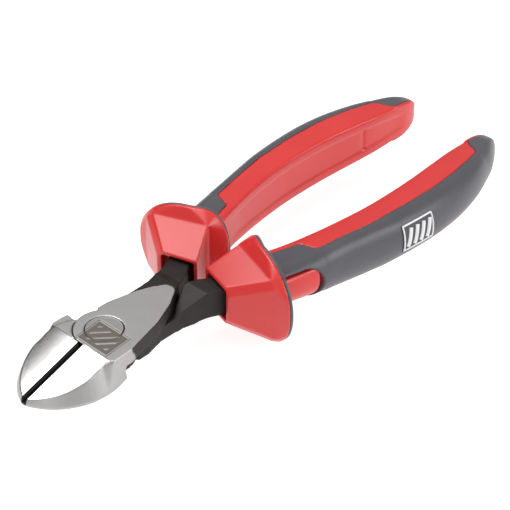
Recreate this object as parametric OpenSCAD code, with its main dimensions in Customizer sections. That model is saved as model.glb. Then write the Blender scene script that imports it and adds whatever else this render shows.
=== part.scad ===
// Diagonal cutting pliers with a lap joint and two-component grips.
// X runs across the tool, Y from the jaws (-Y) to the handle ends (+Y), Z is up.
// The origin is on the rivet's axis, in the plane of the joint's underside. Jaws closed.
// Each module below is drawn about the middle of the joint, and raised to the origin at the end.

/* [Joint] */
// Thickness of the joint, over both plates
joint_t = 9.6; // [9:0.2:10.4]
// Diameter of the rivet
rivet_d = 10.9; // [9:0.1:11.5]
// Radial running clearance of the rivet in the upper lever
rivet_play = 0.05; // [0.02:0.01:0.1]
// Radius of each plate's round about the rivet
lap_r = 8.6; // [8.4:0.1:8.6]
// Gap between the lapped plates
lap_gap = 0.1; // [0.06:0.02:0.2]
// Radial gap between a plate's round and the other lever's jaw
lap_play = 0.2; // [0.15:0.05:0.3]
// Angle on a plate's round at which its stop shoulder stands
stop_angle = 148; // [146:1:150]
// Angle at which the opposite jaw's rear shoulder stands
shoulder_angle = 195; // [193:1:197]

/* [Jaws] */
// Greatest half width of the closed jaws
jaw_half_w = 13.7; // [13:0.1:14.2]
// Distance from the rivet's axis to the widest point of the jaws
jaw_mid = 11; // [10.5:0.5:11.5]
// Radius of each jaw's side, seen from above
jaw_side_r = 20.3; // [20:0.1:20.6]
// Inward lean of the jaw's side for each mm of height
jaw_draft = 0.36; // [0.3:0.02:0.4]
// Height, from the underside, at which the jaw is widest
jaw_wide_z = 1.3; // [1:0.1:1.6]
// Slope of the jaws' top faces down to the tip
bevel_angle = 17.9; // [16:0.1:19]
// Half width of the groove over the cutting edges
groove_half_w = 0.85; // [0.6:0.05:1]
// Depth of the groove over the cutting edges
groove_depth = 0.9; // [0.6:0.05:1]
// Gap between the cutting edges
edge_gap = 0.12; // [0.08:0.02:0.2]

/* [Tang] */
// Width of the tang where it enters the grip
tang_w = 7.6; // [7:0.2:8]
// Height of the tang
tang_h = 6.8; // [6:0.2:7.4]
// Where the tang ends
tang_end = 118; // [100:1:122]

/* [Guard] */
// Angle of the guard's faces to the X axis
guard_angle = 16.5; // [15:0.5:18]
// Distance of the guard's front edge along its own axis
guard_front = 36.3; // [36:0.1:36.6]
// Length of the guard's facets
guard_facet_len = 10; // [9.5:0.1:10.5]
// Length of the flared rim behind the facets
guard_rim_len = 2.2; // [2:0.1:2.4]
// Half height of the flared rim
guard_rim_h = 14.8; // [14:0.1:15.4]
// Wall left round the recess in the guard's front
guard_wall = 1.1; // [0.9:0.1:1.4]

/* [Grip] */
// Thickness of the soft layer
soft_t = 1.7; // [1.4:0.1:2]
// Where the grip ends
grip_end = 149.4; // [149:0.1:150]
// Thickness of the soft ring behind the guard
ring_t = 1.2; // [1:0.1:1.5]

/* [Badge] */
// Where the badge starts along the grip
badge_y = 90.5; // [88:0.5:102]
// Length of the badge
badge_len = 13; // [10:1:16]
// Thickness of the badge
badge_t = 0.3; // [0.2:0.05:0.4]

/* [Hidden] */

$fn = 96;
tiny = 0.02;
half_t = joint_t / 2;
half_gap = lap_gap / 2;
jaw_r_clear = lap_r + lap_play;
jaw_centre_x = jaw_half_w - jaw_side_r;
plate_front = -lap_r;

steel = [0.78, 0.77, 0.77];
dark_steel = [0.24, 0.22, 0.22];
red_plastic = [0.86, 0.22, 0.2];
grey_soft = [0.34, 0.33, 0.37];
badge_white = [0.9, 0.9, 0.92];

// The grip's stations run every 10 mm from y = 40. Half widths and heights in mm.
station_y0 = 40;
station_step = 10;
palm_x = [4.6, 7.8, 11, 13.4, 15.1, 16.1, 16.3, 16, 15.1, 14.1, 13.6, 13.6];
outer_x = [20.5, 22.6, 24.5, 26, 27.9, 29.7, 30.6, 30.8, 29.8, 27.4, 23.6, 20];
half_h = [7.4, 7.4, 7.7, 8.1, 8.4, 8.5, 8.5, 8.4, 8.1, 7.6, 6.8, 5.8];
strip_w = [8, 8, 8, 8.3, 8.2, 7.6, 8, 8.3, 8.4, 7.6, 3.6, 1.4];
tang_x = [9, 12.6, 16.2, 19.2, 21.4, 22.8, 23.6, 23.9, 23.8, 23.8, 23.8, 23.8];

function blend(a, b, c, d, t) =
    b + t * (c - a) / 2 + t * t * (a - 2.5 * b + 2 * c - d / 2)
    + t * t * t * (1.5 * (b - c) + (d - a) / 2);
function at(list, y) =
    let (
        last = len(list) - 1,
        s = max(0, min(last - 0.001, (y - station_y0) / station_step)),
        i = floor(s)
    )
    blend(list[max(i - 1, 0)], list[i], list[i + 1], list[min(i + 2, last)], s - i);

// The butt rounds off over the last stretch, as a quarter ellipse.
butt_y = 139;
butt_len = grip_end - butt_y + 0.3;
function butt(y) = y < butt_y ? 1 : sqrt(1 - pow((y - butt_y) / butt_len, 2));
function grip_palm(y) = at(palm_x, y);
function grip_outer(y) = grip_palm(y) + (at(outer_x, y) - grip_palm(y)) * butt(y);
function grip_h(y) = at(half_h, y) * (0.45 + 0.55 * butt(y));

// Between the guard and the notch the soft layer reaches nearly to the palm.
notch_y = 62;
notch_len = 2.5;
notch_strip = 3.3;
widest_strip = 0.58;
function ease(s) = s <= 0 ? 0 : s >= 1 ? 1 : s * s * (3 - 2 * s);
function grip_strip(y) = min(
    notch_strip + (at(strip_w, y) - notch_strip) * ease((y - notch_y) / notch_len),
    widest_strip * (grip_outer(y) - grip_palm(y))
);

// Points of the round outer side, from the top of the strip to its mirror image below.
arc_steps = 15;
function outer_arc(x0, x1, h) = [
    for (i = [0 : arc_steps])
        let (a = 90 - 180 * i / arc_steps)
        [x0 + (x1 - x0) * pow(abs(cos(a)), 0.75), h * sign(sin(a)) * pow(abs(sin(a)), 0.75)]
];
// The soft layer's edge leans inward by this much from its top to its bottom.
function lip(y) = 0.3 * min(1, grip_strip(y));
function reverse(list) = [for (i = [len(list) - 1 : -1 : 0]) list[i]];

function core_section(y) =
    let (
        p = grip_palm(y),
        h = grip_h(y),
        edge = p + grip_strip(y),
        ridge = p + min(0.7, grip_strip(y) / 2),
        soft = soft_t * min(1, (grip_outer(y) - p) / 5)
    )
    concat(
        [[p, h - 1.4], [ridge, h - 0.6], [edge, h]],
        outer_arc(edge + lip(y), grip_outer(y) - soft, h - soft),
        [[edge, -h], [ridge, 0.6 - h], [p, 1.4 - h]]
    );
function soft_section(y) =
    let (
        p = grip_palm(y),
        h = grip_h(y),
        edge = p + grip_strip(y) + tiny,
        soft = soft_t * min(1, (grip_outer(y) - p) / 5) - tiny
    )
    concat(
        outer_arc(edge, grip_outer(y), h),
        reverse(outer_arc(edge + lip(y), grip_outer(y) - soft, h - soft))
    );

// A closed solid through a row of sections that all have the same, even number of points.
// Each end is closed by a strip that joins point i to point n - 1 - i.
module loft(sections, ys) {
    n = len(sections[0]);
    m = len(sections);
    last = (m - 1) * n;
    points = [for (j = [0 : m - 1]) for (p = sections[j]) [p[0], ys[j], p[1]]];
    sides = [
        for (j = [0 : m - 2]) for (i = [0 : n - 1])
            let (k = (i + 1) % n)
            each [
                [j * n + i, (j + 1) * n + k, j * n + k],
                [j * n + i, (j + 1) * n + i, (j + 1) * n + k]
            ]
    ];
    ends = [
        for (i = [0 : n / 2 - 2])
            each [
                [i, n - 2 - i, n - 1 - i],
                [i, i + 1, n - 2 - i],
                [last + i, last + n - 1 - i, last + n - 2 - i],
                [last + i, last + n - 2 - i, last + i + 1]
            ]
    ];
    polyhedron(points, concat(sides, ends), convexity = 6);
}

grip_start = 47;
station_ys = concat(
    [for (y = [grip_start : 5 : 57]) y],
    [notch_y, notch_y + notch_len / 2, notch_y + notch_len],
    [for (y = [69.5 : 4.5 : 137]) y],
    [139, 141.5, 144, 146, 147.6, 148.7, grip_end]
);

// The guard's own frame: u across, v along its axis, z up.
module in_guard() {
    rotate([0, 0, -guard_angle]) children();
}
module guard_slab(v, t, outline) {
    translate([0, v + t, 0]) rotate([90, 0, 0]) linear_extrude(t) polygon(outline);
}
guard_front_outline = [[-9, -6.2], [2, -6.2], [4, -4], [4, 4], [2, 6.2], [-9, 6.2]];
guard_rear_outline = [
    [-7.3, -12], [10.8, -10.6], [13, -8.6], [13.4, 0], [13, 8.6], [10.8, 10.6], [-7.3, 12]
];
rim_corner = 9;
function rim_outline(shrink) = concat(
    [[-9.2 + shrink, -(guard_rim_h - shrink)], [-9.2 + shrink, guard_rim_h - shrink]],
    [
        for (i = [0 : 14])
            let (a = 85 - 170 * i / 14)
            [
                -2 + (18.7 - shrink) * pow(abs(cos(a)), 0.82),
                (guard_rim_h - shrink) * sign(sin(a)) * pow(abs(sin(a)), 0.9)
            ]
    ]
);

module guard() {
    rear = guard_front + guard_facet_len;
    in_guard() {
        hull() {
            guard_slab(guard_front, 0.1, guard_front_outline);
            guard_slab(rear, 0.1, guard_rear_outline);
        }
        hull() {
            guard_slab(rear, 0.1, guard_rear_outline);
            guard_slab(rear + guard_rim_len, 0.6, rim_outline(0));
        }
    }
}
ring_v = guard_front + guard_facet_len + guard_rim_len + 0.6;
module soft_ring() {
    in_guard() guard_slab(ring_v + tiny, ring_t, rim_outline(0.5));
}

// The recess in the guard's front that the lever's neck goes into.
recess_depth = 3.5;
module guard_recess() {
    in_guard() guard_slab(
        guard_front - 0.5, recess_depth + 0.5,
        [
            [-9 + guard_wall, -6.2 + guard_wall], [2.6, -6.2 + guard_wall],
            [2.6, 6.2 - guard_wall], [-9 + guard_wall, 6.2 - guard_wall]
        ]
    );
}

// The tang's outline on the right-hand side, widened by play on each side.
function tang_half(y) = tang_w / 2 - 1.2 * (y - station_y0) / (tang_end - station_y0);
tang_start = 38;
function tang_outline(play) = concat(
    [for (y = [tang_start : 5 : tang_end]) [at(tang_x, y) + tang_half(y) + play, y]],
    [
        [at(tang_x, tang_end) + tang_half(tang_end) - 1 + play, tang_end + play],
        [at(tang_x, tang_end) - tang_half(tang_end) + 1 - play, tang_end + play]
    ],
    reverse([for (y = [tang_start : 5 : tang_end]) [at(tang_x, y) - tang_half(y) - play, y]])
);
module tang(play) {
    height = tang_h + 2 * play;
    translate([0, 0, -height / 2]) linear_extrude(height) polygon(tang_outline(play));
}

// One lever without its jaw, as the upper one: plate above the joint plane, arm to the left.
neck_left = [[-8, 9], [-6.6, 15], [-6.8, 23], [-9, 31], [-12.6, tang_start + 0.5]];
neck_right = [
    [11.4, plate_front], [12.2, plate_front + 0.9], [11.9, -1], [8.4, 12.4],
    [5, 20.3], [1.6, 25.6], [-2.2, 34], [-5.2, tang_start + 0.5]
];
module plate_outline() {
    step_r = lap_r + 1;
    polygon(concat(
        [[-1, plate_front]],
        neck_right,
        reverse(neck_left),
        [
            step_r * [cos(stop_angle), sin(stop_angle)],
            (lap_r - 1) * [cos(stop_angle), sin(stop_angle)],
            [0, 0]
        ]
    ));
    circle(r = lap_r);
}
// Side view of the lever: the plate, then the arm, which fills out to both sides of the joint plane.
arm_profile = [
    [-10, half_gap], [20, half_gap], [31, -half_t + 0.6], [60, -half_t + 0.6],
    [60, half_t - 0.4], [29, half_t - 0.4], [27, half_t], [-10, half_t]
];
module lever_body() {
    difference() {
        union() {
            intersection() {
                translate([0, 0, -half_t]) linear_extrude(joint_t) plate_outline();
                rotate([90, 0, 90]) translate([0, 0, -20]) linear_extrude(40) polygon(arm_profile);
            }
            mirror([1, 0, 0]) tang(0);
        }
        lap_relief();
    }
}
// Room for the other lever's plate where the arm reaches below the joint plane.
module lap_relief() {
    translate([0, 0, -joint_t]) linear_extrude(joint_t + half_gap) polygon([
        [-20, -10], [-9.1, 12.4], [-5.7, 20.5], [-2.3, 26], [1.5, 34.4], [4, 42], [20, 42], [20, -10]
    ]);
}

// The right-hand jaw, with room for the plate that turns below the joint plane.
bevel_tan = tan(bevel_angle);
jaw_profile = [
    [-40, -half_t], [-40, half_t - bevel_tan * (40 + plate_front)], [plate_front, half_t],
    [5, half_t], [5, -half_t]
];
wide_z = -half_t + jaw_wide_z;
module jaw_round() {
    top_r = jaw_side_r - jaw_draft * (half_t - wide_z);
    translate([jaw_centre_x, -jaw_mid, 0]) rotate_extrude() polygon([
        [0, -half_t], [jaw_side_r - 1.2, -half_t], [jaw_side_r - 0.3, wide_z - 0.7],
        [jaw_side_r, wide_z], [top_r, half_t], [0, half_t]
    ]);
}
module jaw(plate_side) {
    far = 30;
    difference() {
        intersection() {
            jaw_round();
            rotate([90, 0, 90]) translate([0, 0, edge_gap / 2]) linear_extrude(20) polygon(jaw_profile);
            translate([0, 0, -half_t]) linear_extrude(joint_t) polygon([
                [0, 0], [0, -far], [far, -far],
                far * [-cos(shoulder_angle), sin(shoulder_angle)]
            ]);
        }
        translate([0, 0, plate_side > 0 ? -half_gap : half_gap - joint_t])
            cylinder(r = jaw_r_clear, h = joint_t);
        translate([0, plate_front, half_t]) rotate([bevel_angle, 0, 0]) rotate([90, 0, 0])
            linear_extrude(far) polygon([
                [-1, -groove_depth], [0, -groove_depth], [groove_half_w, 0], [groove_half_w, 2], [-1, 2]
            ]);
    }
}

// Shapes are drawn about the joint's mid plane, and each node is raised to stand on the underside.
module raised() {
    translate([0, 0, half_t]) children();
}

module rivet_bore(play) {
    cylinder(r = rivet_d / 2 + play, h = 3 * joint_t, center = true);
}
module upper_lever() {
    color(steel) raised() difference() {
        union() {
            lever_body();
            jaw(-1);
        }
        rivet_bore(rivet_play);
    }
}
module lower_lever() {
    color(steel) raised() difference() {
        union() {
            rotate([0, 180, 0]) lever_body();
            mirror([1, 0, 0]) jaw(1);
        }
        rivet_bore(0);
    }
}
module pivot_rivet() {
    color(dark_steel) raised() cylinder(d = rivet_d, h = joint_t, center = true);
}

// The window in the soft layer, on the outer side behind the guard.
window_y = 56.8;
window_r = 5.6;
module window_cut() {
    translate([15, 0, 0]) rotate([0, 90, 0]) linear_extrude(20) {
        translate([0, window_y]) circle(r = window_r);
        translate([-window_r, window_y - 12]) square([2 * window_r, 12]);
    }
}

module handle_core() {
    color(red_plastic) difference() {
        union() {
            loft([for (y = station_ys) core_section(y)], station_ys);
            guard();
        }
        guard_recess();
        tang(tiny);
    }
}
module soft_grip() {
    color(grey_soft) {
        difference() {
            loft([for (y = station_ys) soft_section(y)], station_ys);
            window_cut();
            in_guard() translate([-30, -20, -20]) cube([60, 20 + ring_v + tiny, 40]);
        }
        difference() {
            soft_ring();
            loft([for (y = station_ys) core_section(y)], station_ys);
        }
    }
}

// The badge follows the grip's outer side, between these two angles round it.
badge_turns = [42, -21];
module badge() {
    steps = 9;
    ys = [for (j = [0 : steps]) badge_y + badge_len * j / steps];
    function rim(y, lift) = [
        for (i = [0 : steps])
            let (
                a = badge_turns[0] + (badge_turns[1] - badge_turns[0]) * i / steps,
                x0 = grip_palm(y) + grip_strip(y)
            )
            [
                x0 + (grip_outer(y) + lift - x0) * pow(cos(a), 0.75),
                (grip_h(y) + lift) * sign(sin(a)) * pow(abs(sin(a)), 0.75)
            ]
    ];
    loft([for (y = ys) concat(rim(y, tiny + badge_t), reverse(rim(y, tiny)))], ys);
}

module left_handle_core() {
    raised() mirror([1, 0, 0]) handle_core();
}
module right_handle_core() {
    raised() handle_core();
}
module left_soft_grip() {
    raised() mirror([1, 0, 0]) soft_grip();
}
module right_soft_grip() {
    raised() soft_grip();
}
module grip_badge() {
    color(badge_white) raised() badge();
}

upper_lever();
lower_lever();
pivot_rivet();
left_handle_core();
right_handle_core();
left_soft_grip();
right_soft_grip();
grip_badge();
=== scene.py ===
import bpy, bmesh
from math import pi, sin, cos, tan, radians, sqrt, copysign
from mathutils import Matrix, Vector


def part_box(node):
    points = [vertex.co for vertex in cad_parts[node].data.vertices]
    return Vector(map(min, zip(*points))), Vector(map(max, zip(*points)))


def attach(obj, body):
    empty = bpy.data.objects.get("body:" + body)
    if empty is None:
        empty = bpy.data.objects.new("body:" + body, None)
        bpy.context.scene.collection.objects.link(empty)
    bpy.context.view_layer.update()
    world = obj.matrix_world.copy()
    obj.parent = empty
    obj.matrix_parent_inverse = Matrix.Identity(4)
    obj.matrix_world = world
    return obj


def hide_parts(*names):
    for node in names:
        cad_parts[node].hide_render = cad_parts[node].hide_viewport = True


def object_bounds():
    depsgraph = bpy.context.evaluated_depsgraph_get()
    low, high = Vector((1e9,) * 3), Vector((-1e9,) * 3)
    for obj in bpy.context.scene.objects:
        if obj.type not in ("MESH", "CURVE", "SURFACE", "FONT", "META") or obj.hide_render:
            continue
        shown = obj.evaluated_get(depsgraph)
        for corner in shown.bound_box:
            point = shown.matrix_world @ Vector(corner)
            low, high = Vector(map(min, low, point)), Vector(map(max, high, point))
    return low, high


# Diagonal cutting pliers. Lengths are in millimetres about the middle of the joint, with the jaws
# towards -Y, and onFrame() takes them to metres in the frame.
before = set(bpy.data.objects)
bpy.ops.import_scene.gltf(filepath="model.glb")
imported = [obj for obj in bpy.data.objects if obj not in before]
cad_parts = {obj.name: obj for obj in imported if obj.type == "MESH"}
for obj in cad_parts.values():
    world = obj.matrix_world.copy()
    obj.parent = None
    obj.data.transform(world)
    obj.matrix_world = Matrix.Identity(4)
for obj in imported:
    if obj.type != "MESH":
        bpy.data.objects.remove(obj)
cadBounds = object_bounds()
mm = 0.001
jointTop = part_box("pivot_rivet")[1].z / mm
jointMid = jointTop / 2
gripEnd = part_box("right_handle_core")[1].y / mm
print("frame loaded")


def onFrame(point):
    return Vector((point[0] * mm, point[1] * mm, (point[2] + jointMid) * mm))


# 0 to 1, slowly at both ends
def ease(s):
    s = max(0.0, min(1.0, s))
    return s * s * (3 - 2 * s)


def placed(name, data):
    thing = bpy.data.objects.new(name, data)
    bpy.context.scene.collection.objects.link(thing)
    return thing


# side is -1 for a piece that is the mirror image of its points.
def addPiece(name, points, faces, side=1):
    mesh = bpy.data.meshes.new(name)
    mesh.from_pydata([onFrame((side * x, y, z)) for x, y, z in points], [], faces)
    piece = placed(name, mesh)
    tidyMesh(piece)
    return piece


def tidyMesh(piece):
    build = bmesh.new()
    build.from_mesh(piece.data)
    bmesh.ops.remove_doubles(build, verts=build.verts, dist=0.002 * mm)
    bmesh.ops.dissolve_degenerate(build, edges=build.edges, dist=0.002 * mm)
    bmesh.ops.recalc_face_normals(build, faces=build.faces)
    build.to_mesh(piece.data)
    build.free()


def smoothShade(piece):
    piece.data.polygons.foreach_set("use_smooth", [True] * len(piece.data.polygons))


# The evaluated piece becomes its own plain mesh, and its modifiers go.
def settle(piece):
    bpy.context.view_layer.update()
    graph = bpy.context.evaluated_depsgraph_get()
    mesh = bpy.data.meshes.new_from_object(piece.evaluated_get(graph), depsgraph=graph)
    piece.modifiers.clear()
    old = piece.data
    piece.data = mesh
    mesh.name = piece.name
    bpy.data.meshes.remove(old)


# The parts become one piece, and the parts themselves go.
def join(name, *parts):
    build = bmesh.new()
    for part in parts:
        build.from_mesh(part.data)
    mesh = bpy.data.meshes.new(name)
    build.to_mesh(mesh)
    build.free()
    for part in parts:
        bpy.data.objects.remove(part)
    return placed(name, mesh)


def cut(piece, cutter):
    change = piece.modifiers.new("cut", "BOOLEAN")
    change.operation = "DIFFERENCE"
    change.solver = "EXACT"
    change.object = cutter
    settle(piece)
    bpy.data.objects.remove(cutter)


# Everything that overlaps becomes one skin, with its edges rounded as a mould rounds them.
def moulded(piece, grain, passes):
    skin = piece.modifiers.new("skin", "REMESH")
    skin.mode = "VOXEL"
    skin.voxel_size = grain * mm
    soften = piece.modifiers.new("soften", "SMOOTH")
    soften.factor = 0.5
    soften.iterations = passes
    settle(piece)
    smoothShade(piece)


# A closed skin over rings of points that all have the same count.
def loft(name, rings, side=1):
    count = len(rings[0])
    points = [p for ring in rings for p in ring]
    faces = []
    for j in range(len(rings) - 1):
        for i in range(count):
            k = (i + 1) % count
            faces.append((j * count + i, j * count + k, (j + 1) * count + k, (j + 1) * count + i))
    last = (len(rings) - 1) * count
    for i in range(count // 2 - 1):
        faces.append((i, i + 1, count - 2 - i, count - 1 - i))
        faces.append((last + i, last + count - 1 - i, last + count - 2 - i, last + i + 1))
    return addPiece(name, points, faces, side)


# The convex shape that just holds the points.
def hull(name, points, side=1):
    build = bmesh.new()
    for x, y, z in points:
        build.verts.new(onFrame((side * x, y, z)))
    found = bmesh.ops.convex_hull(build, input=build.verts)
    spare = found["geom_interior"] + found["geom_unused"]
    loose = {v for v in spare if isinstance(v, bmesh.types.BMVert)}
    bmesh.ops.delete(build, geom=list(loose), context="VERTS")
    bmesh.ops.dissolve_limit(build, angle_limit=radians(0.2), verts=build.verts, edges=build.edges)
    bmesh.ops.recalc_face_normals(build, faces=build.faces)
    mesh = bpy.data.meshes.new(name)
    build.to_mesh(mesh)
    build.free()
    return placed(name, mesh)


# A bead of oval section along a line: the line becomes a curve, and a flattened circle is swept along it.
def sweepTree():
    tree = bpy.data.node_groups.new("sweptBead", "GeometryNodeTree")
    for name, kind in (("Line", "Geometry"), ("Width", "Float"), ("Height", "Float"), ("Sides", "Int"),
                       ("Finish", "Material")):
        tree.interface.new_socket(name, in_out="INPUT", socket_type="NodeSocket" + kind)
    tree.interface.new_socket("Bead", in_out="OUTPUT", socket_type="NodeSocketGeometry")
    nodes, links = tree.nodes, tree.links
    given = nodes.new("NodeGroupInput")
    result = nodes.new("NodeGroupOutput")
    toCurve = nodes.new("GeometryNodeMeshToCurve")
    profile = nodes.new("GeometryNodeCurvePrimitiveCircle")
    profile.inputs["Radius"].default_value = 1.0
    size = nodes.new("ShaderNodeCombineXYZ")
    size.inputs["Z"].default_value = 1.0
    flatten = nodes.new("GeometryNodeTransform")
    sweep = nodes.new("GeometryNodeCurveToMesh")
    sweep.inputs["Fill Caps"].default_value = True
    real = nodes.new("GeometryNodeRealizeInstances")
    finish = nodes.new("GeometryNodeSetMaterial")
    links.new(given.outputs["Line"], toCurve.inputs["Mesh"])
    links.new(given.outputs["Width"], size.inputs["X"])
    links.new(given.outputs["Height"], size.inputs["Y"])
    links.new(given.outputs["Sides"], profile.inputs["Resolution"])
    links.new(profile.outputs["Curve"], flatten.inputs["Geometry"])
    links.new(size.outputs["Vector"], flatten.inputs["Scale"])
    links.new(toCurve.outputs["Curve"], sweep.inputs["Curve"])
    links.new(flatten.outputs["Geometry"], sweep.inputs["Profile Curve"])
    links.new(sweep.outputs["Mesh"], real.inputs["Geometry"])
    links.new(real.outputs["Geometry"], finish.inputs["Geometry"])
    links.new(given.outputs["Finish"], finish.inputs["Material"])
    links.new(finish.outputs["Geometry"], result.inputs["Bead"])
    return tree


beadTree = sweepTree()


# lines holds pairs of a list of points and whether the line closes on itself.
def sweptBead(name, lines, width, height, sides, finish):
    points, edges = [], []
    for line, closed in lines:
        start = len(points)
        points += [onFrame(p) for p in line]
        edges += [(start + i, start + i + 1) for i in range(len(line) - 1)]
        if closed:
            edges.append((start + len(line) - 1, start))
    mesh = bpy.data.meshes.new(name)
    mesh.from_pydata(points, edges, [])
    piece = placed(name, mesh)
    change = piece.modifiers.new("bead", "NODES")
    change.node_group = beadTree
    sockets = {s.name: s.identifier for s in beadTree.interface.items_tree if s.in_out == "INPUT"}
    change[sockets["Width"]] = width * mm
    change[sockets["Height"]] = height * mm
    change[sockets["Sides"]] = sides
    change[sockets["Finish"]] = finish
    settle(piece)
    tidyMesh(piece)
    smoothShade(piece)
    return piece


# A material and the nodes that paint it, with Object coordinates as its place.
class Finish:
    def __init__(self, name, **shader):
        self.material = bpy.data.materials.new(name)
        self.material.use_nodes = True
        self.tree = self.material.node_tree
        self.shader = self.tree.nodes["Principled BSDF"]
        for key, value in shader.items():
            self.set(key.replace("_", " "), value)
        self.place = self.add("ShaderNodeTexCoord").outputs["Object"]

    def set(self, socket, value):
        if isinstance(value, bpy.types.NodeSocket):
            self.tree.links.new(value, self.shader.inputs[socket])
        else:
            self.shader.inputs[socket].default_value = value

    def add(self, kind, inputs=(), **settings):
        node = self.tree.nodes.new(kind)
        for key, value in settings.items():
            setattr(node, key, value)
        for index, value in enumerate(inputs):
            if isinstance(value, bpy.types.NodeSocket):
                self.tree.links.new(value, node.inputs[index])
            elif value is not None:
                node.inputs[index].default_value = value
        return node

    def maths(self, operation, *inputs, clamp=False):
        return self.add("ShaderNodeMath", inputs, operation=operation, use_clamp=clamp).outputs[0]

    def plus(self, first, second, clamp=False):
        return self.maths("ADD", first, second, clamp=clamp)

    def minus(self, first, second, clamp=False):
        return self.maths("SUBTRACT", first, second, clamp=clamp)

    def times(self, first, second):
        return self.maths("MULTIPLY", first, second)

    # 0 where the value is under low, 1 where it is over high
    def step(self, value, low, high):
        inputs = (value, low, high, 0.0, 1.0)
        return self.add("ShaderNodeMapRange", inputs, interpolation_type="SMOOTHSTEP").outputs[0]

    # noise whose spots are about size millimetres wide
    def spots(self, size, detail=3.0, stretch=(1, 1, 1), rough=0.5):
        spread = self.add("ShaderNodeMapping", (self.place, None, None, stretch))
        node = self.add("ShaderNodeTexNoise")
        node.inputs["Scale"].default_value = 1 / (size * mm)
        node.inputs["Detail"].default_value = detail
        node.inputs["Roughness"].default_value = rough
        self.tree.links.new(spread.outputs[0], node.inputs["Vector"])
        return node.outputs[0]

    def blend(self, share, first, second):
        node = self.add("ShaderNodeMix", data_type="RGBA")
        for index, value in ((0, share), (6, first), (7, second)):
            if isinstance(value, bpy.types.NodeSocket):
                self.tree.links.new(value, node.inputs[index])
            else:
                node.inputs[index].default_value = value if index == 0 else (*value, 1)
        return node.outputs[2]

    # low where the value is 0, high where it is 1
    def range(self, value, low, high):
        return self.add("ShaderNodeMapRange", (value, 0.0, 1.0, low, high)).outputs[0]

    def bump(self, height, depth, strength=1.0, after=None):
        node = self.add("ShaderNodeBump")
        node.inputs["Strength"].default_value = strength
        node.inputs["Distance"].default_value = depth * mm
        self.tree.links.new(height, node.inputs["Height"])
        if after is not None:
            self.tree.links.new(after, node.inputs["Normal"])
        return node.outputs[0]


redLook = {
    "colour": (0.54, 0.014, 0.013),
    "paler": (0.63, 0.03, 0.027),
    "scuffed": (0.78, 0.12, 0.1),
    "roughness": (0.3, 0.42),
    "cloudSize": 14,
    "scuffSize": 5,
    "grainSize": 0.5,
    "grainDepth": 0.012,
    "waveSize": 9,
    "waveDepth": 0.05,
}


def redFinish():
    look = redLook
    f = Finish("moulded_red_plastic", Coat_Weight=0.15, Coat_Roughness=0.25, IOR=1.5)
    cloud = f.spots(look["cloudSize"], 4)
    grain = f.spots(look["grainSize"], 2)
    scuffs = f.step(f.spots(look["scuffSize"], 8, (1, 0.25, 1), 0.7), 0.6, 0.75)
    body = f.blend(cloud, look["colour"], look["paler"])
    f.set("Base Color", f.blend(f.times(scuffs, 0.2), body, look["scuffed"]))
    worn = f.plus(f.times(grain, 0.4), f.times(scuffs, 0.5))
    f.set("Roughness", f.range(worn, *look["roughness"]))
    waves = f.bump(f.spots(look["waveSize"], 1), look["waveDepth"], 0.5)
    f.set("Normal", f.bump(grain, look["grainDepth"], 0.6, waves))
    return f.material


greyLook = {
    "colour": (0.05, 0.049, 0.058),
    "paler": (0.078, 0.076, 0.088),
    "rubbed": (0.11, 0.108, 0.12),
    "roughness": (0.34, 0.5),
    "cloudSize": 11,
    "rubSize": 7,
    "grainSize": 0.28,
    "grainDepth": 0.03,
}


def greyFinish():
    look = greyLook
    f = Finish("soft_grey_elastomer", Sheen_Weight=0.12, Sheen_Roughness=0.45, IOR=1.48)
    grain = f.spots(look["grainSize"], 3)
    cloud = f.spots(look["cloudSize"], 4)
    rub = f.step(f.spots(look["rubSize"], 6, (1, 0.35, 1), 0.65), 0.55, 0.75)
    body = f.blend(cloud, look["colour"], look["paler"])
    f.set("Base Color", f.blend(f.times(rub, 0.3), body, look["rubbed"]))
    worn = f.plus(f.times(grain, 0.6), f.times(rub, -0.3))
    f.set("Roughness", f.range(worn, *look["roughness"]))
    f.set("Normal", f.bump(grain, look["grainDepth"], 0.7))
    return f.material


badgeLook = {"colour": (0.78, 0.78, 0.8), "ground": (0.05, 0.05, 0.058), "dustSize": 0.6, "dustDepth": 0.01}


def badgeFinish(name, colour, rough):
    f = Finish(name, IOR=1.5)
    dust = f.spots(badgeLook["dustSize"], 4)
    f.set("Base Color", f.blend(f.times(dust, 0.4), colour, tuple(0.7 * c for c in colour)))
    f.set("Roughness", f.range(dust, rough, rough + 0.15))
    f.set("Normal", f.bump(dust, badgeLook["dustDepth"], 0.5))
    return f.material


steelLook = {
    "plate": (0.5, 0.49, 0.485),
    # the bevels: polished steel, painted brighter as a highlight
    "bevel": (0.8, 0.79, 0.785),
    # the walls: painted darker than the plate, as shade on the faces that turn sideways
    "wall": (0.42, 0.41, 0.405),
    "patch": (0.3, 0.29, 0.285),
    "dark": (0.03, 0.028, 0.027),
    "darkPaler": (0.06, 0.056, 0.054),
    "etched": (0.19, 0.17, 0.15),
    # groove: painted near black, as the shade in the groove over the cutting edges
    "groove": (0.03, 0.028, 0.027),
    "wobble": (2.2, 1.3),          # of the bright parts' edges: its size and how far it reaches
    "tongueTip": (0.1, 25.9),      # x and y of the tip of the ground tongue on the plate
    "tipLeft": (2.1, 0.2),         # how each side of the tip falls back: power and share
    "tipRight": (1.7, 0.3),
    "wallEnd": (0.41, -1.0),       # the end of the bright wall: its slope, and its y at the plate
    "jawEnd": -3.0,
    "bevelStart": -8.4,
    "bevelFoot": -8.6,             # where the bevels' plane meets the plate's top
    "bevelAngle": 17.9,
    "crown": 0.009,                # how round the bevels are ground, in mm per mm squared
    "grooveHalf": 1.02,
    "grooveDeep": 1.5,
    "lines": (0.9, (0.3, 6, 6)),   # the grinding lines' size and stretch
    "swirlSize": 0.35,
    "lineDepth": 0.016,
    "markDepth": 0.06,
}
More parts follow.
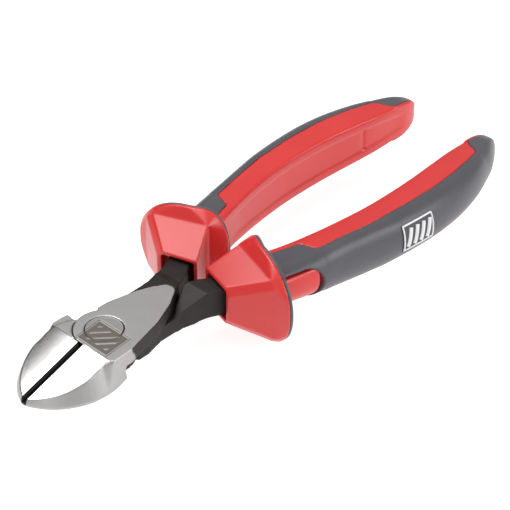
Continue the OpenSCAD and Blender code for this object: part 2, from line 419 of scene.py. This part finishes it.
# The etched mark on the joint: a plain field with slanted bars left bright, in a thin frame.
markLook = {
    "centre": (2.8, -3.0), "half": (6.2, 5.0), "slant": -0.08, "line": 0.22, "gap": 0.6, "pitch": 3.4,
    "barEnd": 1.2, "barHalf": 0.13, "reach": 0.3,
}


# 1 where the steel is ground bright: the tongue on the plate, the jaws and the walls beside them.
def brightZone(f, x, y, z, flat):
    size, reach = steelLook["wobble"]
    wavy = f.plus(y, f.times(f.minus(f.spots(size, 4), 0.5), reach))
    middle, tip = steelLook["tongueTip"]
    side = f.maths("ABSOLUTE", f.minus(x, middle))
    onRight = f.maths("GREATER_THAN", x, middle)

    def fallBack(power, share):
        return f.times(f.maths("POWER", side, power), share)
    drop = f.plus(f.times(fallBack(*steelLook["tipLeft"]), f.minus(1.0, onRight)),
                  f.times(fallBack(*steelLook["tipRight"]), onRight))
    tongue = f.step(f.minus(f.minus(tip, drop), wavy), -0.25, 0.25)
    slope, atPlate = steelLook["wallEnd"]
    wallEnd = f.plus(f.times(f.minus(jointMid, z), slope), atPlate)
    wall = f.step(f.minus(wallEnd, wavy), -0.5, 0.5)
    jaws = f.step(f.minus(steelLook["jawEnd"], y), -0.4, 0.4)
    beside = f.maths("MAXIMUM", f.times(wall, f.minus(1.0, flat)), jaws)
    return f.maths("MAXIMUM", f.times(flat, tongue), beside, clamp=True)


# 1 in the groove over the cutting edges, which is cut into the bevels. The steel there is painted near
# black, as the groove's shade.
def grooveZone(f, x, y, height):
    rise = tan(radians(steelLook["bevelAngle"]))
    floor = f.plus(f.times(f.minus(y, steelLook["bevelFoot"]), rise), jointMid - steelLook["grooveDeep"])
    within = f.step(f.minus(steelLook["grooveHalf"], f.maths("ABSOLUTE", x)), -0.06, 0.06)
    onBevel = f.maths("LESS_THAN", y, steelLook["bevelStart"])
    return f.times(within, f.times(f.maths("GREATER_THAN", height, floor), onBevel))


# 1 on the etched mark's frame and on its field, but not on the bars.
def markMask(f, x, y, where):
    look = markLook
    cx, cy = look["centre"]
    hx, hy = look["half"]
    v = f.minus(y, cy)
    u = f.minus(f.minus(x, cx), f.times(v, look["slant"]))
    au, av = f.maths("ABSOLUTE", u), f.maths("ABSOLUTE", v)

    def inside(inset):
        across = f.step(f.minus(hx - inset, au), -0.07, 0.07)
        return f.times(across, f.step(f.minus(hy - inset, av), -0.07, 0.07))
    rim = f.minus(inside(0), inside(look["line"]), clamp=True)
    wave = f.maths("FRACT", f.plus(f.maths("DIVIDE", f.minus(u, v), look["pitch"]), 0.5))
    wave = f.maths("ABSOLUTE", f.minus(wave, 0.5))
    onBar = f.step(f.minus(look["barHalf"], wave), -0.02, 0.02)
    bars = f.times(onBar, inside(look["gap"] + look["barEnd"]))
    field = f.minus(inside(look["gap"]), bars, clamp=True)
    return f.times(f.maths("MAXIMUM", rim, field), where)


# turned is -1 on the lower lever, whose plate faces down.
def steelFinish(name, turned):
    look = steelLook
    f = Finish(name, Metallic=1.0)
    apart = f.add("ShaderNodeSeparateXYZ", (f.place,)).outputs
    x = f.times(apart[0], turned / mm)
    y = f.times(apart[1], 1 / mm)
    z = f.times(f.minus(apart[2], jointMid * mm), turned / mm)
    height = f.minus(f.maths("DIVIDE", apart[2], mm), jointMid)
    geometry = f.add("ShaderNodeNewGeometry")
    facing = f.add("ShaderNodeSeparateXYZ", (geometry.outputs["True Normal"],)).outputs[2]
    upright = f.maths("ABSOLUTE", facing)
    flat = f.step(f.times(facing, turned), 0.7, 0.9)
    level = f.step(upright, 0.6, 0.7)
    bevel = f.times(f.step(upright, 0.7, 0.8), f.step(f.minus(look["bevelStart"], y), -0.1, 0.1))
    bright = brightZone(f, x, y, z, flat)
    groove = grooveZone(f, x, y, height)
    mark = markMask(f, x, y, f.times(flat, f.maths("GREATER_THAN", height, jointMid - markLook["reach"])))

    patch = f.spots(4, 4)
    # colour by facing: the plate facing up, the walls painted darker as shade, the bevels painted brighter
    # as a highlight
    ground = f.blend(bevel, f.blend(level, look["wall"], look["plate"]), look["bevel"])
    ground = f.blend(f.times(patch, 0.25), ground, look["patch"])
    # the groove painted near black as its shade; the etched mark in its own colour
    worked = f.blend(groove, f.blend(mark, ground, look["etched"]), look["groove"])
    burnished = f.blend(patch, look["dark"], look["darkPaler"])
    f.set("Base Color", f.blend(bright, burnished, worked))

    # grinding lines: across the walls, along the bevels
    size, stretch = look["lines"]
    lines = f.spots(size, 3, stretch, 0.6)
    glossy = f.plus(f.range(bevel, 0.4, 0.24), f.times(f.minus(lines, 0.5), 0.16))
    dull = f.range(patch, 0.5, 0.64)
    rough = f.plus(f.times(glossy, bright), f.times(dull, f.minus(1.0, bright)))
    f.set("Roughness", f.plus(rough, f.times(mark, 0.2), clamp=True))

    fine = f.bump(f.plus(lines, f.spots(look["swirlSize"], 3)), look["lineDepth"], 0.7)
    marked = f.bump(f.minus(1.0, mark), look["markDepth"], 0.7, fine)
    # the bevels are ground a little round, from the seam out to their sides
    fall = f.times(f.times(apart[0], apart[0]), -look["crown"] / mm ** 2)
    f.set("Normal", f.bump(f.times(fall, bevel), 1.0, 1.0, marked))
    return f.material


rivetLook = {
    "face": (0.47, 0.46, 0.455),
    "patch": (0.4, 0.39, 0.385),
    "rim": (0.06, 0.055, 0.052),
    "rimAt": (5.05, 5.4),          # the radii between which the face darkens to the rim
    "rings": 26.0,                 # how tight the turning rings are
}


def rivetFinish():
    look = rivetLook
    f = Finish("turned_steel", Metallic=1.0)
    apart = f.add("ShaderNodeSeparateXYZ", (f.place,)).outputs
    x, y = (f.maths("DIVIDE", apart[i], mm) for i in (0, 1))
    top = f.maths("GREATER_THAN", apart[2], (jointTop - markLook["reach"]) * mm)
    mark = markMask(f, x, y, top)
    fine = f.spots(0.3, 3)
    patch = f.spots(3, 4)
    radius = f.maths("SQRT", f.plus(f.times(x, x), f.times(y, y)))
    rings = f.maths("SINE", f.times(radius, look["rings"]))
    rim = f.step(radius, *look["rimAt"])
    base = f.blend(patch, look["face"], look["patch"])
    base = f.blend(f.times(rim, 0.85), base, look["rim"])
    f.set("Base Color", f.blend(mark, base, steelLook["etched"]))
    f.set("Roughness", f.plus(f.range(fine, 0.32, 0.44), f.times(mark, 0.2)))
    turned = f.bump(f.plus(f.times(rings, 0.3), fine), 0.008, 0.5)
    f.set("Normal", f.bump(f.minus(1.0, mark), steelLook["markDepth"], 0.7, turned))
    return f.material


redPlastic = redFinish()
greySoft = greyFinish()
badgeWhite = badgeFinish("badge_print", badgeLook["colour"], 0.35)
badgeGround = badgeFinish("badge_ground", badgeLook["ground"], 0.4)
upperSteel = steelFinish("forged_steel_upper", 1)
lowerSteel = steelFinish("forged_steel_lower", -1)
rivetSteel = rivetFinish()
print("finishes made")


leverShape = {
    "voxel": 0.25,
    "passes": 2,
    # points x, y, z on the upper lever, under the plate's edge, where the jaw's side runs out
    "wallBlend": (
        (8, -8.5, 4.7), (11.3, -8.5, 4.7), (12.15, -7.7, 4.7), (11.95, -2.6, 4.7), (8, -3, 4.7),
        (10.9, -11, 3.9),
        (8, -11, -3.5), (13.65, -11, -3.5), (13.5, -8.6, -3.5), (12.9, -6, -3.5), (12.2, -3.9, -3.5),
        (8, -4, -3.5),
    ),
    "rubs": 60,
    # where the blend's creases are rubbed out: a limit in x, in y twice and in z, each with its fade
    "rubZone": ((9, 1.5), (-16, 3), (-3.6, 1.5), (3.9, 1.2)),
}


# The wall blend's creases are rubbed out, below the plate's edge only.
def easeWall(piece, side):
    (inner, innerFade), (front, frontFade), (back, backFade), (top, topFade) = leverShape["rubZone"]
    zone = piece.vertex_groups.new(name="wallZone")
    for v in piece.data.vertices:
        x, y, z = side * v.co.x / mm, v.co.y / mm, v.co.z / mm - jointMid
        share = (ease((x - inner) / innerFade) * ease((y - front) / frontFade)
                 * ease((back - y) / backFade) * ease((top - z) / topFade))
        if share > 0:
            zone.add([v.index], share, "REPLACE")
    rub = piece.modifiers.new("rub", "SMOOTH")
    rub.factor = 0.5
    rub.iterations = leverShape["rubs"]
    rub.vertex_group = "wallZone"
    settle(piece)
    piece.vertex_groups.clear()
    smoothShade(piece)


# side is -1 on the lower lever, whose jaw is on the left.
def lever(node, name, finish, body, side):
    piece = placed(name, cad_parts[node].data.copy())
    piece.data.name = name
    piece.data.materials.clear()
    build = bmesh.new()
    build.from_mesh(piece.data)
    bmesh.ops.remove_doubles(build, verts=build.verts, dist=0.004 * mm)
    build.to_mesh(piece.data)
    build.free()
    piece = join(name, piece, hull("wallBlend", leverShape["wallBlend"], side))
    moulded(piece, leverShape["voxel"], leverShape["passes"])
    easeWall(piece, side)
    piece.data.materials.append(finish)
    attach(piece, body)
    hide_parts(node)


lever("upper_lever", "upperLeverForging", upperSteel, "upper_half", 1)
lever("lower_lever", "lowerLeverForging", lowerSteel, "lower_half", -1)

rivetShape = {"clearance": 0.02, "chamfer": 0.22, "dip": 0.03, "steps": 128}


# A turned profile from the lower chamfer up to the head's face, which dips a little inside its edge.
def rivet():
    shape = rivetShape
    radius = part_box("pivot_rivet")[1].x / mm - shape["clearance"]
    top = jointMid
    c = shape["chamfer"]
    profile = [(radius - c, -top), (radius, c - top), (radius, top - c), (radius - c, top),
               (radius - 2 * c, top - shape["dip"])]
    steps = shape["steps"]
    turns = [2 * pi * i / steps for i in range(steps)]
    points = [(r * cos(a), r * sin(a), z) for r, z in profile for a in turns]
    faces = []
    for j in range(len(profile) - 1):
        for i in range(steps):
            k = (i + 1) % steps
            faces.append((j * steps + i, j * steps + k, (j + 1) * steps + k, (j + 1) * steps + i))
    faces.append(tuple(range(steps))[::-1])
    faces.append(tuple(len(points) - steps + i for i in range(steps)))
    piece = addPiece("pivotRivet", points, faces)
    piece.data.materials.append(rivetSteel)
    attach(piece, "lower_half")
    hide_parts("pivot_rivet")


rivet()
print("levers and rivet made")


# The right grip. The first four rows hold one value for each station along the handle.
gripShape = {
    "palm": (4.6, 7.8, 11, 13.4, 15.1, 16.1, 16.3, 16, 15.1, 14.1, 13.6, 13.6),
    "outer": (20.5, 22.6, 24.5, 26, 27.9, 29.7, 30.6, 30.8, 29.8, 27.4, 23.6, 20),
    "height": (7.4, 7.4, 7.7, 8.1, 8.4, 8.5, 8.5, 8.4, 8.1, 7.6, 6.8, 5.8),
    "strip": (8, 8, 8, 8.3, 8.2, 7.6, 8, 8.3, 8.4, 7.8, 7.2, 7),
    "firstStation": 40,
    "stationGap": 10,
    "start": 47,
    "ringGap": 0.6,
    "endRings": (136, 26),         # where the rings close up for the round end, and how many there are
    "soft": 1.7,
    "softMost": 0.4,               # the most of the width that the soft layer may take
    "stripMost": 0.58,             # the most of the width that the red strip may take
    "round": (0.92, 1.05),         # the power of the outer arc, on top and below
    "bend": 0.4,                   # the least flat between the strip's edge and the arc
    "shallow": 0.9,                # how much less deep the underside is
    "dish": 0.72,                  # how far the core rises in the window, of the soft layer's thickness
    "heel": 1.6,                   # how far the palm draws in at the end
    "butt": (139, 0.3, 0.45),      # where it narrows from, how far past the end it closes, what is left
    "cap": (142, 0.42),            # where the end starts to round off, and the share of height left
    "notch": (62, 2.5, 2.5),       # where it starts, its length, the strip behind it
    "wrap": (134.5, 4.5, 0.9),     # where the soft layer wraps over the end, its length, the strip left
    "panel": (0.4, 3.2, 0.9),      # how deep the palm's panel is, its border, and its slope
    "panelEnds": ((58, 12), (138, 6)),  # where it starts and ends, each with its fade
    "groove": (124.6, 0.9, 0.45),  # the groove across the palm: its place, half width and depth
    # the palm's rounded edge: in from the palm, down from the top
    "roll": ((0, 1.5), (0.12, 0.95), (0.5, 0.55), (1.1, 0.34)),
    "fullStrip": 2.5,              # the strip's width from which the edge has its full size
    "play": 0.02,
    "voxel": 0.34,
}
# The window in the soft layer behind the guard.
windowShape = {
    "end": 62.4, "radius": 6.3, "middle": -0.9,
    "rise": (1.6, 1.2),            # how far before its end the core's rise ends, and its fade
    "edge": (0.3, 0.8),            # how far past its sides the rise reaches, and its fade
    "steps": 32,
}


# A smooth curve through the row's values.
def station(key, y):
    values = gripShape[key]
    last = len(values) - 1
    s = max(0.0, min(last - 0.001, (y - gripShape["firstStation"]) / gripShape["stationGap"]))
    i = int(s)
    t = s - i
    a, b, c, d = values[max(i - 1, 0)], values[i], values[i + 1], values[min(i + 2, last)]
    return (b + t * (c - a) / 2 + t * t * (a - 2.5 * b + 2 * c - d / 2)
            + t ** 3 * (1.5 * (b - c) + (d - a) / 2))


# 1 along the grip, falling in a quarter circle over the length before end.
def roundEnd(y, start, end):
    t = max(0.0, min(1.0, (y - start) / (end - start)))
    return sqrt(1 - t * t)


# The section's measures: palm, outer, high, low, strip, soft and bend.
def gripAt(y):
    shape = gripShape
    palm = station("palm", y)
    start, past, left = shape["butt"]
    butt = roundEnd(y, start, gripEnd + past)
    outer = palm + (station("outer", y) - palm) * (left + (1 - left) * butt)
    start, left = shape["cap"]
    cap = roundEnd(y, start, gripEnd)
    high = station("height", y) * (left + (1 - left) * cap)
    palm += shape["heel"] * (1 - cap)
    plain = station("strip", y)
    start, length, narrow = shape["notch"]
    strip = narrow + (plain - narrow) * ease((y - start) / length)
    start, length, narrow = shape["wrap"]
    strip += (narrow - strip) * ease((y - start) / length)
    widest = shape["stripMost"] * (outer - palm)
    strip = min(strip, widest)
    bend = palm + max(strip + shape["bend"], min(plain, widest))
    soft = min(shape["soft"], shape["softMost"] * (outer - palm))
    return palm, outer, high, high - shape["shallow"], strip, soft, bend


# A point on the arc from the bend round to the outer side, a radians over its middle.
def onArc(bend, outer, high, low, a):
    power = gripShape["round"][0 if a > 0 else 1]
    z = high * sin(a) ** power if a > 0 else -low * abs(sin(a)) ** power
    return bend + (outer - bend) * max(0.0, cos(a)) ** power, z


# The outer side of the grip: flat from its edge to the bend, then round.
def outerArc(edge, bend, outer, high, low, steps):
    flat = [edge + (bend - edge) * i / 8 for i in range(8)]
    arc = [onArc(bend, outer, high, low, pi / 2 - pi * i / steps) for i in range(steps + 1)]
    return [(x, high) for x in flat] + arc + [(x, -low) for x in reversed(flat)]


# The soft layer's edge slants out a little, from the strip's edge down to the core.
def lipAt(edge, strip):
    return edge + 0.3 * min(1.0, strip)


# How far the palm is hollowed by its panel and the groove across it.
def palmHollow(y):
    depth = gripShape["panel"][0]
    (start, startFade), (end, endFade) = gripShape["panelEnds"]
    hollow = depth * (ease((y - start) / startFade) * (1 - ease((y - end) / endFade)))
    place, width, depth = gripShape["groove"]
    return hollow + depth * max(0.0, 1 - abs(y - place) / width) ** 0.6


def coreRing(y):
    palm, outer, high, low, strip, soft, bend = gripAt(y)
    edge = palm + strip
    floor = palm + palmHollow(y)
    border, slope = gripShape["panel"][1:]
    k = min(1.0, strip / gripShape["fullStrip"])

    # from the palm's middle up to the strip's edge; the arc then goes under the soft layer
    def half(h):
        face = [(floor, 0.0), (floor, 0.25 * h), (floor, max(0.3 * h, h - border - slope)),
                (palm, max(0.4 * h, h - border))]
        roll = [(palm + inward * k, h - drop * k) for inward, drop in gripShape["roll"]]
        return face + roll + [(palm + 0.5 * strip, h - 0.1 * k), (edge, h)]
    under = outerArc(lipAt(edge, strip), bend, outer - soft, high - soft, low - soft, 60)
    flush = outerArc(edge, bend, outer, high, low, 60)
    # in the soft layer's window the core stands nearly flush
    back, fade = windowShape["rise"]
    rise = gripShape["dish"] * (1 - ease((y - windowShape["end"] + back) / fade))
    past, soften = windowShape["edge"]
    arc = []
    for (x0, z0), (x1, z1) in zip(under, flush):
        share = rise * ease((windowShape["radius"] + past - abs(z1 - windowShape["middle"])) / soften)
        arc.append((x0 + (x1 - x0) * share, z0 + (z1 - z0) * share))
    below = [(x, -z) for x, z in reversed(half(low))][:-1]
    return [(x, y, z) for x, z in half(high) + arc + below]


def softRing(y):
    palm, outer, high, low, strip, soft, bend = gripAt(y)
    play = gripShape["play"]
    edge = palm + strip + play
    outside = outerArc(edge, bend, outer, high, low, 40)
    inner = soft - play
    inside = outerArc(lipAt(edge, strip), bend, outer - inner, high - inner, low - inner, 40)
    return [(x, y, z) for x, z in outside + inside[::-1]]


# Where the grip's rings are: evenly along it, then closing up on its round end.
def ringPlaces():
    start, gap = gripShape["start"], gripShape["ringGap"]
    closing, count = gripShape["endRings"]
    ys = [start + gap * i for i in range(int((closing - start) / gap) + 1)]
    first = ys[-1]
    return ys + [first + (gripEnd - first) * sin(pi / 2 * (i + 1) / count) for i in range(count)]


# The guard has its own frame: u across it, v back along the handle, z up.
guardShape = {
    "angle": 16.5, "front": 36.3, "facets": 10, "rim": 2.2, "lip": 0.6, "rimHeight": 14.8,
    "frontOutline": ((-9, -6.2), (2, -6.2), (4, -4), (4, 0), (4, 4), (2, 6.2), (-9, 6.2)),
    "rearOutline": ((-7.3, -12), (10.8, -10.6), (13, -8.6), (13.4, 0), (13, 8.6), (10.8, 10.6), (-7.3, 12)),
    "wall": 1.1, "recess": 3.5, "recessEnd": 2.6,
    "middle": -2, "outerBulge": 18.7, "palmBulge": 9.4, "sweep": 0.25,
    "powers": (0.82, 0.72, 0.9),   # how square the rim is: outer side, palm side, height
    "slices": 13, "points": 8,
}


def guardPoint(u, v, z):
    a = radians(guardShape["angle"])
    return (u * cos(a) + v * sin(a), v * cos(a) - u * sin(a), z)


# The rim's outline. Towards the palm it sweeps back.
def rimLine(shrink, back, steps=40):
    g = guardShape
    start = g["front"] + g["facets"] + g["rim"]
    outerPower, palmPower, highPower = g["powers"]
    outline = []
    for i in range(steps + 1):
        a = radians(90 - 180 * i / steps)
        outline.append((g["middle"] + (g["outerBulge"] - shrink) * max(0.0, cos(a)) ** outerPower, a))
    for i in range(1, steps):
        a = radians(-90 - 180 * i / steps)
        outline.append((g["middle"] - (g["palmBulge"] - shrink) * abs(cos(a)) ** palmPower, a))
    h = g["rimHeight"] - shrink
    return [(u, start + back + g["sweep"] * max(0.0, -u), copysign(h * abs(sin(a)) ** highPower, sin(a)))
            for u, a in outline]


# Each facet is ruled between the front and rear outlines, so it may twist without a crease.
# The last slice goes on past the rear, into the flare.
def guardFacets(side):
    g = guardShape
    count, slices = g["points"], g["slices"]
    rings = []
    for k in range(slices + 2):
        t = min(1.0, k / slices)
        corners = [(a[0] + (b[0] - a[0]) * t, a[1] + (b[1] - a[1]) * t)
                   for a, b in zip(g["frontOutline"], g["rearOutline"])]
        v = g["front"] + g["facets"] * k / slices
        ring = []
        for (u0, z0), (u1, z1) in zip(corners, corners[1:] + corners[:1]):
            ring += [guardPoint(u0 + (u1 - u0) * j / count, v, z0 + (z1 - z0) * j / count)
                     for j in range(count)]
        rings.append(ring)
    return loft("guardFacets", rings, side)


# The recess that the lever's arm comes out of.
def recessCutter(side):
    g = guardShape
    wall = g["wall"]
    left, below = g["frontOutline"][0]
    points = [guardPoint(u, v, z) for u in (left + wall, g["recessEnd"])
              for v in (g["front"] - 1, g["front"] + g["recess"]) for z in (below + wall, -below - wall)]
    return hull("guardRecess", points, side)


def guardFlare(side):
    g = guardShape
    rear = [guardPoint(u, g["front"] + g["facets"], z) for u, z in g["rearOutline"]]
    rim = [guardPoint(*p) for back in (0, g["lip"]) for p in rimLine(0, back)]
    return hull("guardFlare", rear + rim, side)


def windowCutter(side):
    r, middle, steps = windowShape["radius"], windowShape["middle"], windowShape["steps"]
    y = windowShape["end"] - r
    turns = [pi * i / steps for i in range(steps + 1)]
    outline = [(y + r * sin(a), middle + r * cos(a)) for a in turns]
    outline += [(40, middle - r), (40, middle + r)]
    points = [(x, y, z) for x in (15, 40) for y, z in outline]
    n = len(outline)
    faces = [(i, (i + 1) % n, n + (i + 1) % n, n + i) for i in range(n)]
    faces += [tuple(range(n))[::-1], tuple(range(n, 2 * n))]
    return addPiece("windowCutter", points, faces, side)


# It takes the soft layer away as far back as the guard's rim.
def frontCutter(side):
    g = guardShape
    end = g["front"] + g["facets"] + g["rim"] + g["lip"] + gripShape["play"]
    points = [guardPoint(u, v, z) for u in (-30, 30) for v in (-20, end) for z in (-20, 20)]
    return hull("frontCutter", points, side)


def softGrip(prefix, side, body):
    piece = loft(prefix + "SoftGrip", [softRing(y) for y in ringPlaces()], side)
    cut(piece, windowCutter(side))
    cut(piece, frontCutter(side))
    moulded(piece, gripShape["voxel"], 3)
    piece.data.materials.append(greySoft)
    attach(piece, body)
    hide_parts(prefix + "_soft_grip")


def handleCore(prefix, side, body):
    bar = loft(prefix + "Bar", [coreRing(y) for y in ringPlaces()], side)
    facets = guardFacets(side)
    cut(facets, recessCutter(side))
    piece = join(prefix + "HandleCore", bar, facets, guardFlare(side))
    moulded(piece, gripShape["voxel"], 4)
    piece.data.materials.append(redPlastic)
    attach(piece, body)
    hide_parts(prefix + "_handle_core")


ringShape = {"inset": 0.8, "back": 0.5, "thick": 0.7, "sides": 14}


def gripRing(prefix, side, body):
    r = ringShape
    line = [guardPoint(*p) for p in rimLine(r["inset"], guardShape["lip"] + r["back"])]
    closedLine = ([(side * x, y, z) for x, y, z in line], True)
    piece = sweptBead(prefix + "GripRing", [closedLine], r["thick"], r["thick"], r["sides"], greySoft)
    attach(piece, body)


def grip(prefix, side, body):
    softGrip(prefix, side, body)
    handleCore(prefix, side, body)
    gripRing(prefix, side, body)
    print(prefix, "grip made")


grip("left", -1, "upper_half")
grip("right", 1, "lower_half")


# The badge on the right grip. Its margin, rimAt, barsAt and slant are shares of its own length or width.
badgeShape = {
    "start": 90.5, "length": 13, "turns": (42, -21), "thick": 0.26, "grid": (26, 22), "margin": 0.02,
    "rimAt": 0.05, "rimSteps": 24, "line": 0.28,
    "bars": 4, "barsAt": 0.2, "slant": 0.12, "barLine": (0.75, 0.3), "sides": 10,
}


# s runs along the grip and t round it, both 0 to 1, and lift is how far the point stands off the grip.
def badgePoint(s, t, lift):
    b = badgeShape
    y = b["start"] + b["length"] * s
    _, outer, high, low, _, _, bend = gripAt(y)
    a = radians(b["turns"][0] + (b["turns"][1] - b["turns"][0]) * t)
    x, z = onArc(bend, outer + lift, high + lift, low + lift, a)
    return x, y, z


# Two grids of points, on the grip and on the badge's face, closed round their edges.
def badgeField():
    n, m = badgeShape["grid"]
    margin = badgeShape["margin"]
    inner = 1 - 2 * margin
    points = [badgePoint(margin + inner * i / n, margin + inner * j / m, lift)
              for lift in (0.0, badgeShape["thick"]) for i in range(n + 1) for j in range(m + 1)]

    def at(i, j, k):
        return (k * (n + 1) + i) * (m + 1) + j
    faces = []
    for i in range(n):
        for j in range(m):
            faces.append((at(i, j, 1), at(i + 1, j, 1), at(i + 1, j + 1, 1), at(i, j + 1, 1)))
            faces.append((at(i, j, 0), at(i, j + 1, 0), at(i + 1, j + 1, 0), at(i + 1, j, 0)))
    for i in range(n):
        for j in (0, m):
            faces.append((at(i, j, 0), at(i + 1, j, 0), at(i + 1, j, 1), at(i, j, 1)))
    for j in range(m):
        for i in (0, n):
            faces.append((at(i, j, 0), at(i, j + 1, 0), at(i, j + 1, 1), at(i, j, 1)))
    piece = addPiece("gripBadge", points, faces)
    smoothShade(piece)
    piece.data.materials.append(badgeGround)
    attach(piece, "lower_half")
    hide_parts("grip_badge")


def badgeRim():
    low, steps = badgeShape["rimAt"], badgeShape["rimSteps"]
    high = 1 - low
    corners = ((low, low), (high, low), (high, high), (low, high))
    rim = []
    for (s0, t0), (s1, t1) in zip(corners, corners[1:] + corners[:1]):
        rim += [badgePoint(s0 + (s1 - s0) * i / steps, t0 + (t1 - t0) * i / steps, badgeShape["thick"])
                for i in range(steps)]
    return rim


# Slanted bars, evenly spaced along the badge.
def badgeBarLine(k):
    b = badgeShape
    start, steps = b["barsAt"], b["rimSteps"]
    span = 1 - 2 * start
    s = start + span * k / (b["bars"] - 1)
    return [badgePoint(s + b["slant"] * (0.5 - i / steps), start + span * i / steps, b["thick"])
            for i in range(steps + 1)]


def badge():
    b = badgeShape
    badgeField()
    rim = [(badgeRim(), True)]
    frameLine = sweptBead("badgeFrame", rim, b["line"], b["line"], b["sides"], badgeWhite)
    bars = [(badgeBarLine(k), False) for k in range(b["bars"])]
    barLines = sweptBead("badgeBars", bars, *b["barLine"], b["sides"], badgeWhite)
    for line in (frameLine, barLines):
        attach(line, "lower_half")


badge()
print("badge made")


# The stage is in metres, but for drop and mottle, which are in millimetres.
stageLook = {
    "size": 4.0, "drop": 0.4, "floor": 0.35, "mottle": (40, 0.02), "glow": 0.86,
    # the sky's light at the horizon and overhead, and the heights it changes between
    "horizon": 0.3, "zenith": 0.75, "skyRange": (0.15, 0.85),
    # how dark the card to the left is, and where its edge fades
    "card": 0.15, "cardRange": (-0.86, -0.6),
    "aim": (0, 0.05, 0),
    # name: place, size, power
    "lamps": {
        "keyLight": ((-0.36, -0.12, 0.9), 0.8, 7.0),
        "palmLight": ((0.95, 0.55, 0.4), 0.6, 5.2),
        "frontLight": ((0.5, -0.9, 0.35), 0.5, 1.2),
    },
}


def paleFloor():
    low = cadBounds[0][2] - stageLook["drop"] * mm
    s = stageLook["size"]
    mesh = bpy.data.meshes.new("floor")
    mesh.from_pydata([(-s, -s, low), (s, -s, low), (s, s, low), (-s, s, low)], [], [(0, 1, 2, 3)])
    floor = placed("floor", mesh)
    f = Finish("pale_floor", Roughness=0.85)
    pale = stageLook["floor"]
    size, paler = stageLook["mottle"]
    f.set("Base Color", f.blend(f.spots(size, 2), (pale,) * 3, (pale + paler,) * 3))
    f.set("Emission Color", (1, 1, 1, 1))
    f.set("Emission Strength", stageLook["glow"])
    mesh.materials.append(f.material)


# The sky is brighter overhead, and a dark card stands to the left.
def sky():
    world = bpy.data.worlds.new("studio")
    world.use_nodes = True
    bpy.context.scene.world = world
    tree = world.node_tree
    where = tree.nodes.new("ShaderNodeTexCoord")
    apart = tree.nodes.new("ShaderNodeSeparateXYZ")
    tree.links.new(where.outputs["Generated"], apart.inputs[0])

    def change(axis, start, end, low, high):
        node = tree.nodes.new("ShaderNodeMapRange")
        for socket, value in (("From Min", start), ("From Max", end), ("To Min", low), ("To Max", high)):
            node.inputs[socket].default_value = value
        tree.links.new(apart.outputs[axis], node.inputs["Value"])
        return node.outputs[0]
    level = change("Z", *stageLook["skyRange"], stageLook["horizon"], stageLook["zenith"])
    card = change("X", *stageLook["cardRange"], stageLook["card"], 1.0)
    shaded = tree.nodes.new("ShaderNodeMath")
    shaded.operation = "MULTIPLY"
    tree.links.new(level, shaded.inputs[0])
    tree.links.new(card, shaded.inputs[1])
    tree.links.new(shaded.outputs[0], tree.nodes["Background"].inputs["Strength"])
    tree.nodes["Background"].inputs["Color"].default_value = (1, 1, 1, 1)


def lamps():
    for name, (place, size, power) in stageLook["lamps"].items():
        lamp = bpy.data.lights.new(name, "AREA")
        lamp.shape = "DISK"
        lamp.size = size
        lamp.energy = power
        thing = placed(name, lamp)
        thing.location = place
        towards = Vector(stageLook["aim"]) - Vector(place)
        thing.rotation_euler = towards.to_track_quat("-Z", "Y").to_euler()


cameraLook = {
    "azimuth": 43.54, "elevation": 36.18, "distance": 578.16, "target": (1.92, 57.42, 0), "lens": 141.18,
    "sensor": 36, "clip": (0.01, 20),
}


def camera():
    c = cameraLook
    a, e = radians(c["azimuth"]), radians(c["elevation"])
    back = Vector((sin(a) * cos(e), -cos(a) * cos(e), sin(e)))
    data = bpy.data.cameras.new("camera")
    data.lens = c["lens"]
    data.sensor_width = c["sensor"]
    data.clip_start, data.clip_end = c["clip"]
    thing = placed("camera", data)
    thing.location = onFrame(c["target"]) + back * c["distance"] * mm
    thing.rotation_euler = back.to_track_quat("Z", "Y").to_euler()
    bpy.context.scene.camera = thing


paleFloor()
sky()
lamps()
camera()
bpy.context.scene.view_settings.view_transform = "Standard"
print("stage set")
